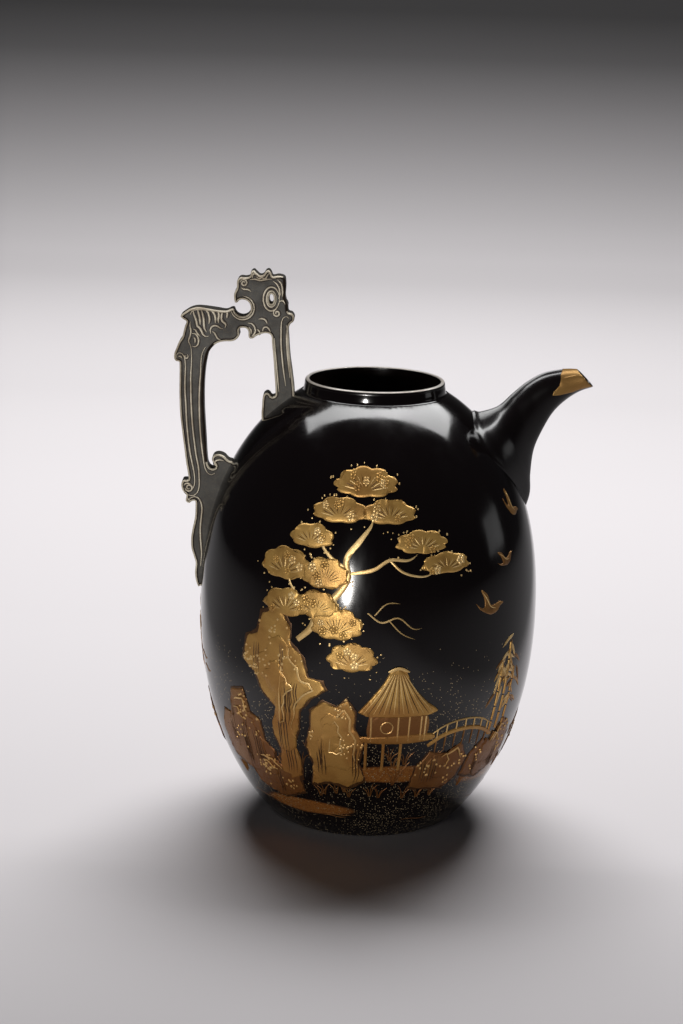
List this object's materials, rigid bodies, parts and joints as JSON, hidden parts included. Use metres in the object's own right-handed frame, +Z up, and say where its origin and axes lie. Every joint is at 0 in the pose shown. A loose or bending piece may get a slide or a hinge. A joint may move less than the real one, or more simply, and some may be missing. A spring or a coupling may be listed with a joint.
{
  "type": "lacquer ewer",
  "caption": "Egg-shaped lacquered wooden ewer with an open neck, a curved spout and a carved openwork scroll handle; it holds and pours a liquid.",
  "frame": {"origin": "middle of the flat base, on the axis that the body is turned about", "axes": "+Z up along the turning axis, +X to the spout's side, -X to the handle's side; the XZ plane is the mirror plane"},
  "size_m": [0.1834, 0.15, 0.2439],
  "materials": {
    "black_lacquer": "black lacquer polished to a deep gloss over turned and carved wood, lightly worn at the edges",
    "rim_lacquer": "thin line of pale worn gold lacquer over wood, satin",
    "handle_lacquer": "greenish grey-brown lacquer over carved wood, semi-gloss, with thin pale gold lines along the carving",
    "gold_lacquer": "gold powder set in raised lacquer, satin metallic, with fine engraved lines",
    "inner_lacquer": "dark brown-black lacquer inside the mouth, satin",
    "bamboo": "split bamboo pins and dowels, hidden inside the joints"
  },
  "bodies": {
    "root": {"body_lower": "black_lacquer", "body_upper": "black_lacquer", "base_disc": "black_lacquer", "neck_collar": "black_lacquer", "rim_ring": "rim_lacquer", "spout_front": "black_lacquer", "spout_back": "black_lacquer", "handle_outer_post": "handle_lacquer", "handle_top_board": "handle_lacquer", "handle_inner_post": "handle_lacquer", "outer_tenon_pin": "bamboo", "inner_tenon_pin": "bamboo", "upper_foot_dowel": "bamboo", "lower_foot_dowel": "bamboo", "inner_foot_dowel": "bamboo"}
  },
  "joints": []
}
